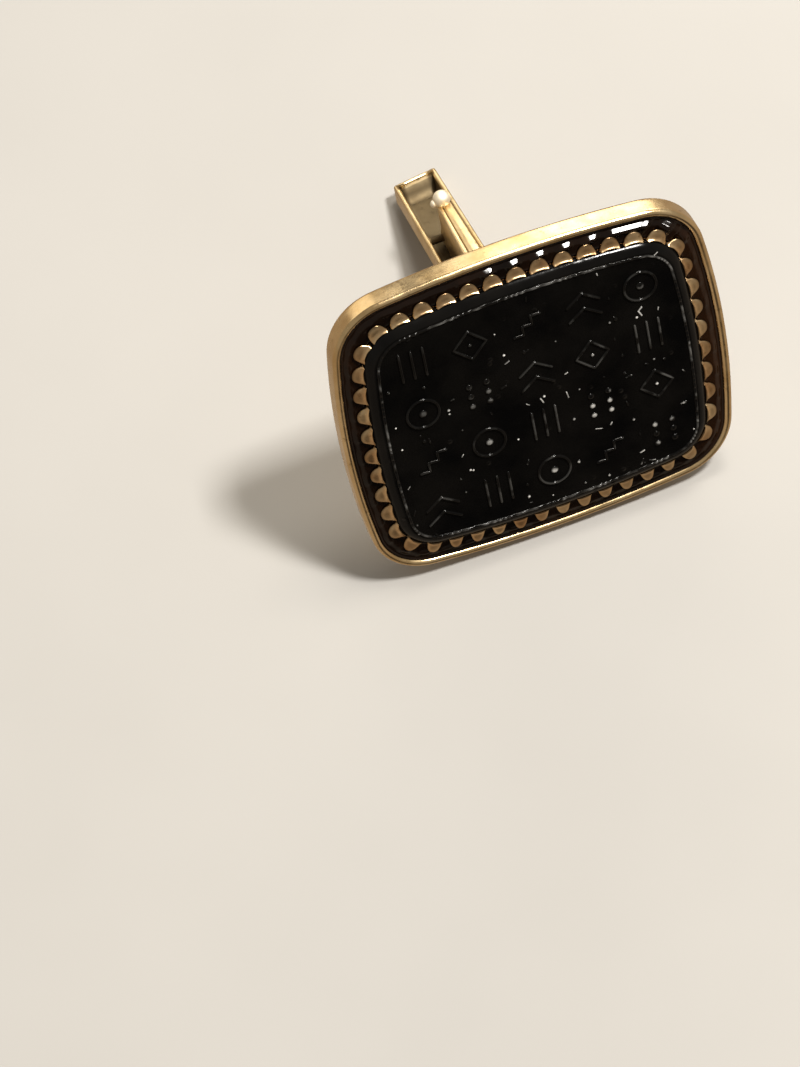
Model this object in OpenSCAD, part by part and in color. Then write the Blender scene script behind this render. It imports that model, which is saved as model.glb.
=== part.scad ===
// Cufflink with a raised black plaque in a gold rim and a swivel toggle at the back.
// Each module draws its piece in the face's own frame: X along the long side, Y up the short
// side, Z out of the face, with Z = 0 at the top of the rim's lip. at_rest() then leans the
// whole cufflink back, as it lies on a table on its rim and on the end of its toggle.

/* [Rim] */
// Width of the face over the rim
face_w = 25; // [23:0.5:27]
// Height of the face over the rim
face_h = 22.2; // [21:0.2:24]
// Radius of the rim's outer corners
corner_r = 3.9; // [3.4:0.1:4.4]
// Half angle of each long side's outward bow, in degrees
long_bow = 6.5; // [4:0.5:7]
// Half angle of each short side's outward bow, in degrees
short_bow = 7.9; // [5:0.5:8.5]
// Depth of the rim from its lip to its back edge
rim_d = 1.6; // [1.4:0.05:2]
// Width of the rim's bright lip
lip_w = 0.5; // [0.36:0.02:0.6]
// Thickness of the plate under the enamel
plate_t = 0.55; // [0.45:0.05:0.7]
// How deep the back plate lies inside the rim's back edge
back_recess = 0.25; // [0.1:0.05:0.4]

/* [Enamel] */
// Depth of the enamel's surface under the lip
enamel_drop = 0.2; // [0.15:0.05:0.4]

/* [Bezel] */
// Width of the bezel's upper edge, outside
bezel_w = 21.5; // [20.5:0.1:22]
// Height of the bezel's upper edge, outside
bezel_h = 18.7; // [17.7:0.1:19.2]
// Radius of the bezel's corners, outside
bezel_r = 3; // [2.5:0.1:3.4]
// Height of the bezel's upper edge over the lip
bezel_rise = 0.3; // [0.2:0.02:0.4]
// Thickness of the bezel's wall
bezel_t = 0.16; // [0.14:0.02:0.4]
// Height of the scallops' tops over the lip
scallop_top = 0.14; // [0.04:0.02:0.2]
// Number of scallops round the bezel's foot
scallops = 47; // [40:1:50]
// Radius of one scallop
scallop_r = 0.5; // [0.4:0.02:0.56]
// How far the scallops' centres stand out from the bezel's wall
scallop_out = 0.2; // [0.1:0.05:0.35]

/* [Plaque] */
// Height of the plaque's top over the lip
plaque_rise = 0.62; // [0.5:0.02:0.9]
// Height of the plaque's bevelled edge under its top
bevel_h = 0.36; // [0.3:0.02:0.4]
// Width of the plaque's bevelled edge
bevel_w = 0.6; // [0.3:0.05:0.65]
// Height of the relief over the plaque's top
relief_h = 0.12; // [0.08:0.02:0.2]
// Plain border between the plaque's edge and its raised frame line
border_w = 0.65; // [0.4:0.05:0.9]
// Width of the relief's raised lines
line_w = 0.2; // [0.16:0.02:0.3]

/* [Post] */
// Thickness of the post at the pivot, across the face's long side
post_t = 0.8; // [0.7:0.05:1]
// Thickness of the post where it joins the back
post_root_t = 1.6; // [1.2:0.1:2]
// Height of the post's top edge over the pivot
post_top = 2.7; // [2:0.1:3]
// Radius of the post's round end at the pivot
post_end_r = 0.62; // [0.55:0.01:0.66]
// Radius of the ball on the post's end
ball_r = 0.7; // [0.5:0.05:0.72]
// Height of the ball's centre over the post's top edge
ball_up = 0.3; // [0:0.05:0.4]
// Distance of the pivot behind the lip
pivot_back = 17; // [15:0.2:19]
// Height of the pivot over the face's centre
pivot_up = 0.3; // [-0.4:0.1:0.6]
// Distance of the post and toggle from the face's middle line, to the right as worn
centre_off = 0.15; // [0:0.05:0.4]

/* [Toggle] */
// Length of the toggle
toggle_len = 13.4; // [11:0.2:14]
// Width of the toggle's closed far end
toggle_far_w = 2.75; // [2.4:0.05:2.9]
// Width of the toggle's open near end
toggle_near_w = 3.25; // [2.9:0.05:3.4]
// Thickness of the toggle's side walls and end wall
toggle_wall = 0.3; // [0.25:0.05:0.4]
// Thickness of the toggle's floor
toggle_floor = 0.26; // [0.2:0.02:0.4]
// Height of the toggle's side walls over the pivot
toggle_top = 0.42; // [0.38:0.02:0.6]
// Radius of the pivot pin
pin_r = 0.26; // [0.2:0.01:0.28]

/* [Hidden] */
gold = [0.83, 0.66, 0.38];
black = [0.03, 0.025, 0.02];
brown = [0.12, 0.06, 0.03];
seat_gap = 0.02;        // play between pieces that lie beside each other
run_gap = 0.03;         // play of the pin in the post
pin_fit = 0.01;         // play of the pin in the toggle
swing_gap = 0.12;       // play between the post's end and the toggle's floor
arc_steps = 9;          // segments along a corner
side_steps = 7;         // segments along a side: odd, so that the rim rests on a short edge
floor_z = -rim_d + back_recess + plate_t;
enamel_z = -enamel_drop;
floor_y = -post_end_r - swing_gap;      // the toggle's floor, from the pivot
toggle_y = floor_y - toggle_floor;      // the toggle's underside, from the pivot
toggle_end = -pivot_back - toggle_len / 2;
pivot_w = (toggle_far_w + toggle_near_w) / 2;   // the toggle's width at its middle, the pivot

// The outline of a rounded rectangle with bowed sides: eight tangent arcs, each given as
// centre x, centre y, radius, first angle and last angle, anticlockwise from the right side.
// w and h are the full sizes, r the corner radius, la and sa the bows of the sides.
function bow_a(w, h, r, la, sa) =
    ((w / 2 - r) * sin(sa) - (h / 2 - r) * (1 - cos(sa)))
    / (sin(la) * sin(sa) - (1 - cos(sa)) * (1 - cos(la)));
function bow_b(w, h, r, la, sa) =
    ((h / 2 - r) * sin(la) - (w / 2 - r) * (1 - cos(la)))
    / (sin(la) * sin(sa) - (1 - cos(sa)) * (1 - cos(la)));
function arcs(w, h, r, la, sa) =
    let (a = bow_a(w, h, r, la, sa), b = bow_b(w, h, r, la, sa))
    let (cx = a * sin(la), cy = b * sin(sa))
    let (sx = cx - b * cos(sa), ly = cy - a * cos(la)) [
        [sx, 0, b + r, -sa, sa],
        [cx, cy, r, sa, 90 - la],
        [0, ly, a + r, 90 - la, 90 + la],
        [-cx, cy, r, 90 + la, 180 - sa],
        [-sx, 0, b + r, 180 - sa, 180 + sa],
        [-cx, -cy, r, 180 + sa, 270 - la],
        [0, -ly, a + r, 270 - la, 270 + la],
        [cx, -cy, r, 270 + la, 360 - sa],
    ];
rim_arcs = arcs(face_w, face_h, corner_r, long_bow, short_bow);
bezel_arcs = arcs(bezel_w, bezel_h, bezel_r, long_bow, short_bow * 0.7);

// A point of an outline, moved outward by off
function on_arc(arc, angle, off) =
    [arc[0] + (arc[2] + off) * cos(angle), arc[1] + (arc[2] + off) * sin(angle)];
function points(path, off) = [
    for (i = [0 : len(path) - 1])
        let (arc = path[i], n = i % 2 == 0 ? side_steps : arc_steps)
            for (k = [0 : n - 1]) on_arc(arc, arc[3] + (arc[4] - arc[3]) * k / n, off)
];
module outline(path, off) {
    polygon(points(path, off));
}

// Places along an outline at even distances: the length of each arc, then the arc that holds s
function arc_len(arc) = arc[2] * (arc[4] - arc[3]) * PI / 180;
function path_len(path, i = 0) = i == len(path) ? 0 : arc_len(path[i]) + path_len(path, i + 1);
function place(path, s, off, i = 0) =
    s <= arc_len(path[i]) || i == len(path) - 1
        ? on_arc(path[i], path[i][3] + (path[i][4] - path[i][3]) * s / arc_len(path[i]), off)
        : place(path, s - arc_len(path[i]), off, i + 1);

// A wall between two offsets of an outline, from z0 to z1
module ring(path, inner, outer, z0, z1) {
    translate([0, 0, z0])
        linear_extrude(z1 - z0)
            difference() {
                outline(path, outer);
                outline(path, inner);
            }
}

// A body with bevelled edges: slices of the outline, each with its bottom, top and inset
module bevelled(path, off, slices) {
    hull()
        for (s = slices)
            translate([0, 0, s[0]])
                linear_extrude(s[1] - s[0])
                    outline(path, off - s[2]);
}

// A flat shape drawn in Y and Z, given its thickness t along X
module along_x(t) {
    rotate([90, 0, 90])
        linear_extrude(t, center = true)
            children();
}

// The rim's body from back to lip: bottom, top and inset of each slice
rim_slices = [
    [-rim_d, -rim_d + 0.1, 0.25],
    [-rim_d + 0.25, -0.25, 0],
    [-0.08, 0, 0.12],
];

// The cufflink's lean: the ground line touches the toggle's end and the rim's back edge
lean = max([
    for (s = rim_slices) atan2(pivot_up + toggle_y + face_h / 2 - s[2], s[0] - toggle_end)
]);
function ahead(y, z) = y * sin(lean) - z * cos(lean);
function above(y, z) = y * cos(lean) + z * sin(lean);
back_y = ahead(pivot_up + toggle_top, toggle_end);
front_y = min([for (s = rim_slices) ahead(-face_h / 2 + s[2], s[1])]);
ground_z = above(pivot_up + toggle_y, toggle_end);
module at_rest() {
    translate([0, -(back_y + front_y) / 2, -ground_z])
        rotate([90 - lean, 0, 0])
            children();
}

// The post: a flat bar soldered to the back, thinner towards its round end at the pivot, with a
// ball on top of that end
module post() {
    root_z = -rim_d + back_recess + plate_t / 2;
    tip_z = -pivot_back - post_end_r;
    tip_t = post_t - (post_root_t - post_t) * post_end_r / (root_z + pivot_back);
    intersection() {
        along_x(post_root_t + 1) {
            translate([pivot_up - post_end_r, -pivot_back])
                square([post_end_r + post_top, root_z + pivot_back]);
            translate([pivot_up, -pivot_back])
                circle(r = post_end_r, $fn = 48);
        }
        translate([0, pivot_up + post_top + 1, 0])
            rotate([90, 0, 0])
                linear_extrude(post_end_r + post_top + 2)
                    polygon([
                        [-post_root_t / 2, root_z], [-tip_t / 2, tip_z],
                        [tip_t / 2, tip_z], [post_root_t / 2, root_z],
                    ]);
    }
    translate([0, pivot_up + post_top + ball_up, -pivot_back])
        sphere(r = ball_r, $fn = 48);
}

// Rim, plate and post are soldered metal, so they are one solid
module frame() {
    color(gold)
        at_rest()
            difference() {
                union() {
                    bevelled(rim_arcs, 0, rim_slices);
                    translate([centre_off, 0, 0])
                        post();
                }
                translate([0, 0, floor_z])
                    linear_extrude(rim_d)
                        outline(rim_arcs, -lip_w);
                difference() {
                    translate([0, 0, -rim_d - 1])
                        linear_extrude(1 + back_recess)
                            outline(rim_arcs, -0.9);
                    translate([centre_off - post_root_t / 2, pivot_up - post_end_r, -rim_d - 1])
                        cube([post_root_t, post_top + post_end_r, 2]);
                }
                translate([centre_off, pivot_up, -pivot_back])
                    rotate([0, 90, 0])
                        cylinder(r = pin_r + run_gap, h = post_root_t, center = true, $fn = 48);
            }
}

// The enamel fills the trough between the rim and the bezel
module enamel() {
    color(brown)
        at_rest()
            translate([0, 0, floor_z])
                linear_extrude(enamel_z - floor_z)
                    difference() {
                        outline(rim_arcs, -lip_w - seat_gap);
                        outline(bezel_arcs, seat_gap);
                    }
}

// The bezel stands round the plaque, with a flared foot and a row of scallops
module bezel() {
    foot_z = enamel_z + seat_gap;
    step = path_len(bezel_arcs) / scallops;
    color(gold)
        at_rest() {
            ring(bezel_arcs, -bezel_t, 0, floor_z, bezel_rise);
            translate([0, 0, foot_z])
                linear_extrude(scallop_top - foot_z)
                    difference() {
                        union() {
                            outline(bezel_arcs, scallop_out);
                            for (i = [0 : scallops - 1])
                                translate(place(bezel_arcs, (i + 0.5) * step, scallop_out))
                                    circle(r = scallop_r, $fn = 24);
                        }
                        outline(bezel_arcs, -bezel_t / 2);
                    }
        }
}

// Motifs of the relief: each is flat and fits in a square of side s
module loop(s) {
    difference() {
        circle(d = s, $fn = 32);
        circle(d = s - 2 * line_w, $fn = 32);
    }
    circle(d = s / 4, $fn = 16);
}
module lozenge(s) {
    difference() {
        rotate(45)
            square(s * 0.72, center = true);
        rotate(45)
            square(s * 0.72 - 2 * line_w, center = true);
    }
    square(line_w * 1.4, center = true);
}
module bars(s) {
    for (x = [-1 : 1])
        translate([x * s / 3, 0])
            square([line_w, s], center = true);
}
module steps(s) {
    for (k = [-1 : 1])
        translate([k * s / 3.6, k * s / 3.6])
            square([s / 3, line_w], center = true);
    for (k = [-1, 1])
        translate([k * s / 7.2, k * s / 7.2])
            square([line_w, s / 3.6], center = true);
}
module chevron(s) {
    for (y = [-1, 1], m = [0, 1])
        translate([0, y * s / 4])
            mirror([m, 0])
                polygon([
                    [0, s / 6 - line_w / 2], [0, s / 6 + line_w / 2],
                    [s / 2, line_w / 2 - s / 6], [s / 2, -line_w / 2 - s / 6],
                ]);
}
module dots(s) {
    for (x = [-1, 1], y = [-1, 0, 1])
        translate([x * s / 4, y * s / 3])
            circle(d = s / 5, $fn = 16);
}

// Rows of the relief from the top, each a list of motifs from the left
RELIEF = [
    ["bars", "lozenge", "steps", "chevron", "loop"],
    ["loop", "dots", "chevron", "lozenge", "bars"],
    ["steps", "loop", "bars", "dots", "lozenge"],
    ["chevron", "bars", "loop", "steps", "dots"],
];
module motif(name, s) {
    if (name == "loop") loop(s);
    if (name == "lozenge") lozenge(s);
    if (name == "bars") bars(s);
    if (name == "steps") steps(s);
    if (name == "chevron") chevron(s);
    if (name == "dots") dots(s);
}

// The plaque is one block of black glass with a raised line and relief on its top
module plaque() {
    edge = -bezel_t - seat_gap;
    field_w = bezel_w + 2 * edge - 2 * border_w - 1.4;
    field_h = bezel_h + 2 * edge - 2 * border_w - 1.4;
    cell_w = field_w / len(RELIEF[0]);
    cell_h = field_h / len(RELIEF);
    sunk = 0.05;
    color(black)
        at_rest() {
            bevelled(bezel_arcs, edge, [
                [floor_z, plaque_rise - bevel_h, 0],
                [plaque_rise - 0.05, plaque_rise, bevel_w],
            ]);
            ring(bezel_arcs, edge - border_w - line_w, edge - border_w,
                plaque_rise - sunk, plaque_rise + relief_h);
            translate([0, 0, plaque_rise - sunk])
                linear_extrude(sunk + relief_h)
                    for (r = [0 : len(RELIEF) - 1], c = [0 : len(RELIEF[r]) - 1])
                        translate([
                            (c + 0.5) * cell_w - field_w / 2,
                            field_h / 2 - (r + 0.5) * cell_h,
                        ])
                            motif(RELIEF[r][c], 0.62 * min(cell_w, cell_h));
        }
}

// The toggle's plan, centred on the pivot and tapered towards its far end: its walls moved in
// by inset, its ends at z0 and z1, with corners cut off by the amount cut
module toggle_plan(inset, z0, z1, cut) {
    taper = (toggle_near_w - toggle_far_w) / toggle_len / 2;
    function half_w(z) = pivot_w / 2 + taper * z - inset;
    polygon([
        [half_w(z0) - cut, z0], [half_w(z0), z0 + cut],
        [half_w(z1), z1 - cut], [half_w(z1) - cut, z1],
        [cut - half_w(z1), z1], [-half_w(z1), z1 - cut],
        [-half_w(z0), z0 + cut], [cut - half_w(z0), z0],
    ]);
}

// The toggle: a shallow trough, closed at its far end and open towards the face
module toggle() {
    depth = toggle_top - toggle_y;
    far = -toggle_len / 2;
    color(gold)
        at_rest()
            translate([centre_off, pivot_up, -pivot_back])
                difference() {
                    translate([0, toggle_top, 0])
                        rotate([90, 0, 0])
                            linear_extrude(depth)
                                toggle_plan(0, far, -far, 0.15);
                    translate([0, toggle_top + 1, 0])
                        rotate([90, 0, 0])
                            linear_extrude(toggle_top + 1 - floor_y)
                                toggle_plan(toggle_wall, far + toggle_wall, 1 - far, 0.1);
                    rotate([0, 90, 0])
                        cylinder(r = pin_r + pin_fit, h = pivot_w + 1, center = true, $fn = 48);
                }
}

// The pin that the toggle turns on
module pivot_pin() {
    color(gold)
        at_rest()
            translate([centre_off, pivot_up, -pivot_back])
                rotate([0, 90, 0])
                    cylinder(r = pin_r, h = pivot_w - 0.02, center = true, $fn = 48);
}

frame();
enamel();
bezel();
plaque();
toggle();
pivot_pin();
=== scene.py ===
from bisect import bisect_right
import math
import random

import bmesh
import bpy
from mathutils import Matrix, Vector


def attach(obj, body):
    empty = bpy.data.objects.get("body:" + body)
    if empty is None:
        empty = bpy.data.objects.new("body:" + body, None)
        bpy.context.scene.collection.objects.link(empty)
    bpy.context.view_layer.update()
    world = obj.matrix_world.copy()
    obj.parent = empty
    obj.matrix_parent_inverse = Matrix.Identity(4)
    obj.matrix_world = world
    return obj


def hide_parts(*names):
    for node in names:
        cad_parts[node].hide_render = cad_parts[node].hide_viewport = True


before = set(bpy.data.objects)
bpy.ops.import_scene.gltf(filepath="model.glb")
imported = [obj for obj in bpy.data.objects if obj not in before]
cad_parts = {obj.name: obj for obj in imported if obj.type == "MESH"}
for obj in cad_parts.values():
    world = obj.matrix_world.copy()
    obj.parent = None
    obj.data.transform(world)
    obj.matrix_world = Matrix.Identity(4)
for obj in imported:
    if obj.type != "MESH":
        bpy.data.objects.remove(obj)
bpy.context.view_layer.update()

# All shapes are drawn in the face's own frame, in mm: X along the long side, Y up the short side,
# Z out of the face, with Z = 0 at the top of the rim's lip. to_row() leans them back as the CAD does.
MM = 0.001

# Rim: its outline, its lip, the plate in its back, and the rounded edges there
FACE_W = 25.0
FACE_H = 22.2
CORNER_R = 3.9
LONG_BOW = 6.5
SHORT_BOW = 7.9
RIM_D = 1.6
LIP_W = 0.5
LIP_RIGHT = 0.05
PLATE_T = 0.55
BACK_RECESS = 0.25
BACK_EDGE_W = 0.9
BACK_EDGE_R = 0.08
BACK_TURN_R = 0.28
PLATE_IN = 3.2
RIM_STATIONS = 320
LIP_STEPS = 14

# Bezel: its wall, and lobes that slope down from the wall's edge to their tips
BEZEL_W = 21.5
BEZEL_H = 18.7
BEZEL_R = 3.0
BEZEL_RISE = 0.3
BEZEL_T = 0.16
LOBES = 47
LOBE_OUT = 0.62
LOBE_HALF = 0.84
LOW_LOBE_HALF = 0.68
LOW_LOBE_MORE = 0.13
RIGHT_LOBE_LESS = 0.07
LOBE_UNEVEN = 0.04
UNEVEN_TURN = 2.4
NOTCH_Z = -0.04
BEZEL_BOW = 0.7
PER_LOBE = 28
FINE = 16
PHASE = 0.05
WIDER_SIDES = 0.12
WIDER_RIGHT = 0.03
WIDER_TOP = 0.03

# The surface of one lobe: where it starts at its middle and at its sides, the powers of its
# outline, the soft edge of the gap beside it, the hollow along its top edge, its slope, how much
# its sides and its tip fall away, and how dark its slopes, its tip and the gaps are painted:
# painted shade with some tarnish, less of it along the bottom row
ARCH = (-0.05, -0.145)
BELL = (2.4, 0.7)
SOFT = 0.05
COVE_H = 0.12
COVE_W = 0.07
SLOPE = 0.07
SIDES_FALL = 0.1
TIP_FALL = 0.07
TIP_POWER = 5
# Painted shade on the lobes' slopes and tips, less of it along the bottom
TOP_SHADE_AND_TARNISH = 0.22
TIP_SHADE_AND_TARNISH = 0.5
LOW_LESS_SHADE = 0.6
LOBE_ROWS = (1.0, 0.96, 0.88, 0.74, 0.56, 0.4, 0.27, 0.17, 0.1, 0.05, 0.0)

# Enamel: its level by the lobes and by the lip, how it climbs both, and the hill before each
# lobe's tip. The hills are high over the upper right lobes, HILLS_UP and HILLS_RIGHT, where they
# turn towards the lamps, and along STREAK, counted in lobes, they run together
ENAMEL_IN = -0.08
ENAMEL_OUT = -0.2
ENAMEL_DROP = (0.5, 0.95)
FILL = 0.05
FILL_W = 0.15
CLIMB = 0.1
CLIMB_W = 0.07
LIP_GAP = 0.01
MOAT_ROWS = 48
HILL = 0.21
HILL_HALF = 0.55
HILL_START = (0.4, 0.8)
HILL_FALL = (0.86, 1.07)
LOW_HILL = 0.3
HILLS_UP = (0.2, 0.8)
HILLS_RIGHT = (-0.07, -0.01)
HILL_TURN = 0.95
HILL_FACING = 0.12
STREAK = (10.15, 11.25)
STREAK_SOFT = 0.2
# The moat's right side is painted red-brown: a painted reflection of the gold wall
PAINTED_REFLECTION_RIGHT = 0.25

# Plaque
PLAQUE_RISE = 0.62
BEVEL_H = 0.36
BEVEL_W = 0.6
BEVEL_RUN = 0.1
BEVEL_STEEP = 60.0
BEVEL_ROWS = 10
RELIEF_H = 0.12
BORDER_W = 0.65
LINE_W = 0.2
SEAT_GAP = 0.02

# Post and ball, with the seam along the post's top, its groove painted dark as shade, and the bead of
# solder by the ball
POST_T = 0.8
POST_ROOT_T = 1.6
POST_RIGHT = 0.12
POST_TOP = 2.7
POST_END_R = 0.62
NOSE_OUT = 0.05
NOSE_R = 0.35
POST_EDGE = 0.13
SEAM = (-0.5, -0.1)
SEAM_DARK = (-0.37, -0.25)
BALL_R = 0.57
BALL_UP = 0.3
BEAD_R = 0.27
BEAD_LEFT = 0.52
BEAD_UP = 0.1
PIVOT_BACK = 17.0
PIVOT_UP = 0.3
CENTRE_OFF = 0.15

# Toggle and pin. The trough's far end slopes on the inside, and its inside is painted dark: painted shade,
# partly tarnish
TOGGLE_LEN = 13.4
TOGGLE_FAR_W = 2.75
TOGGLE_NEAR_W = 3.25
TOGGLE_WALL = 0.3
TOGGLE_FLOOR = 0.26
TOGGLE_TOP = 0.42
TOGGLE_SKEW = 0.5
TOGGLE_FLARE = 0.28
TOGGLE_FAR_SLOPE = 0.6
TOGGLE_CORNER_R = 0.15
TOGGLE_LOW_R = 0.16
TOGGLE_FILLET = 0.4
TOGGLE_STEPS = 24
# Painted shade a little under the trough and much inside it, more towards its near end
UNDER_SHADE = 0.1
TROUGH_SHADE_AND_TARNISH = 0.85
TROUGH_NEAR_SHADE = 0.13
PIN_R = 0.26
PIN_END_R = 0.14
PIN_SIDES = 32
SWING_GAP = 0.12

FLOOR_Z = -RIM_D + BACK_RECESS + PLATE_T
FLOOR_Y = -POST_END_R - SWING_GAP
TOGGLE_Y = FLOOR_Y - TOGGLE_FLOOR
TOGGLE_END = -PIVOT_BACK - TOGGLE_LEN / 2
PIVOT_W = (TOGGLE_FAR_W + TOGGLE_NEAR_W) / 2

# The rim's body from back to lip, as in the CAD: bottom, top and inset of each slice
RIM_SLICES = [(-RIM_D, -RIM_D + 0.1, 0.25), (-RIM_D + 0.25, -0.25, 0.0), (-0.08, 0.0, 0.12)]

# The lean of the cufflink on its rim and on the end of its toggle
LEAN = max(math.atan2(PIVOT_UP + TOGGLE_Y + FACE_H / 2 - s[2], s[0] - TOGGLE_END) for s in RIM_SLICES)
SIN_LEAN = math.sin(LEAN)
COS_LEAN = math.cos(LEAN)


def ahead(y, z):
    return y * SIN_LEAN - z * COS_LEAN


def above(y, z):
    return y * COS_LEAN + z * SIN_LEAN


BACK_Y = ahead(PIVOT_UP + TOGGLE_TOP, TOGGLE_END)
FRONT_Y = min(ahead(-FACE_H / 2 + s[2], s[1]) for s in RIM_SLICES)
SHIFT_Y = -(BACK_Y + FRONT_Y) / 2
SHIFT_Z = -above(PIVOT_UP + TOGGLE_Y, TOGGLE_END)


def to_row(p):
    """A point of the face's frame in mm, in the row frame in metres."""
    x, y, z = p
    return Vector((x, ahead(y, z) + SHIFT_Y, above(y, z) + SHIFT_Z)) * MM


# Outlines


def bowed(w, h, r, long_bow, short_bow):
    """Eight tangent arcs of a rounded rectangle with bowed sides: centre, radius, two angles."""
    la = math.radians(long_bow)
    sa = math.radians(short_bow)
    d = math.sin(la) * math.sin(sa) - (1 - math.cos(sa)) * (1 - math.cos(la))
    a = ((w / 2 - r) * math.sin(sa) - (h / 2 - r) * (1 - math.cos(sa))) / d
    b = ((h / 2 - r) * math.sin(la) - (w / 2 - r) * (1 - math.cos(la))) / d
    cx = a * math.sin(la)
    cy = b * math.sin(sa)
    sx = cx - b * math.cos(sa)
    ly = cy - a * math.cos(la)
    q = math.pi / 2
    return [
        (sx, 0, b + r, -sa, sa),
        (cx, cy, r, sa, q - la),
        (0, ly, a + r, q - la, q + la),
        (-cx, cy, r, q + la, 2 * q - sa),
        (-sx, 0, b + r, 2 * q - sa, 2 * q + sa),
        (-cx, -cy, r, 2 * q + sa, 3 * q - la),
        (0, -ly, a + r, 3 * q - la, 3 * q + la),
        (cx, -cy, r, 3 * q + la, 4 * q - sa),
    ]


def stations(path, count):
    """Points at even distances along an outline, each as x, y and the outward normal."""
    lengths = [arc[2] * (arc[4] - arc[3]) for arc in path]
    total = sum(lengths)
    out = []
    for i in range(count):
        s = total * i / count
        k = 0
        while k < len(path) - 1 and s > lengths[k]:
            s -= lengths[k]
            k += 1
        cx, cy, r, a0, a1 = path[k]
        a = a0 + (a1 - a0) * s / lengths[k]
        out.append((cx + r * math.cos(a), cy + r * math.sin(a), math.cos(a), math.sin(a)))
    return out


def lobe_stations(path):
    """Stations that share out the lobes: a little wider apart on the short sides and the top."""
    fine = stations(path, LOBES * PER_LOBE * FINE)
    sums = [0.0]
    for x, y, nx, ny in fine:
        sums.append(sums[-1] + 1 / (1 + WIDER_SIDES * nx * nx + WIDER_RIGHT * nx + WIDER_TOP * ny))
    out = []
    for i in range(LOBES * PER_LOBE):
        share = ((i / PER_LOBE - 0.5 + PHASE) % LOBES) / LOBES
        out.append(fine[min(bisect_right(sums, share * sums[-1]) - 1, len(fine) - 1)])
    return out


RIM_PATH = bowed(FACE_W, FACE_H, CORNER_R, LONG_BOW, SHORT_BOW)
BEZEL_PATH = bowed(BEZEL_W, BEZEL_H, BEZEL_R, LONG_BOW, SHORT_BOW * BEZEL_BOW)


def lip_width(nx):
    """The lip's width where the outward normal's X is nx: a little more on the right."""
    return LIP_W + LIP_RIGHT * max(0.0, nx)


def round_corner(centre, radius, start, end, steps):
    """Points of an arc in a profile, angles in degrees."""
    out = []
    for k in range(steps + 1):
        a = math.radians(start + (end - start) * k / steps)
        out.append((centre[0] + radius * math.cos(a), centre[1] + radius * math.sin(a)))
    return out


def smooth(low, high, value):
    """0 below low, 1 above high and a smooth rise between."""
    t = min(1.0, max(0.0, (value - low) / (high - low)))
    return t * t * (3 - 2 * t)


def mixed(a, b, share):
    return a + (b - a) * share


# Meshes


class Shape:
    """Vertices and faces in the face's frame, with one number per vertex for the materials."""

    def __init__(self):
        self.verts = []
        self.faces = []
        self.deep = []

    def ring(self, points, deep=0.0):
        first = len(self.verts)
        self.verts.extend(points)
        self.deep.extend(deep if isinstance(deep, list) else [deep] * len(points))
        return list(range(first, first + len(points)))

    def bridge(self, a, b, closed=True):
        n = len(a)
        for i in range(n if closed else n - 1):
            j = (i + 1) % n
            self.faces.append((a[i], a[j], b[j], b[i]))

    def skin(self, rings, closed=True):
        for a, b in zip(rings, rings[1:]):
            self.bridge(a, b, closed)

    def cap(self, ring):
        self.faces.append(tuple(ring))

    def sweep(self, along, profile):
        """A closed outline's stations, swept by a profile of (offset, z) points and filled."""
        rings = [
            self.ring([(x + nx * off, y + ny * off, z) for x, y, nx, ny in along])
            for off, z in profile
        ]
        self.skin(rings)
        self.cap(rings[0])
        self.cap(rings[-1])


def piece(name, shape, body, material, nodes=()):
    """A mesh object in the row frame that rides on a body, and stands for CAD nodes."""
    mesh = bpy.data.meshes.new(name)
    mesh.from_pydata([to_row(v) for v in shape.verts], [], shape.faces)
    deep = mesh.attributes.new("deep", "FLOAT", "POINT")
    deep.data.foreach_set("value", shape.deep)
    bm = bmesh.new()
    bm.from_mesh(mesh)
    bmesh.ops.recalc_face_normals(bm, faces=bm.faces)
    bm.to_mesh(mesh)
    bm.free()
    mesh.polygons.foreach_set("use_smooth", [True] * len(mesh.polygons))
    mesh.update()
    ob = bpy.data.objects.new(name, mesh)
    bpy.context.scene.collection.objects.link(ob)
    mesh.materials.append(material)
    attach(ob, body)
    if nodes:
        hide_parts(*nodes)
    return ob


# Materials


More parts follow.
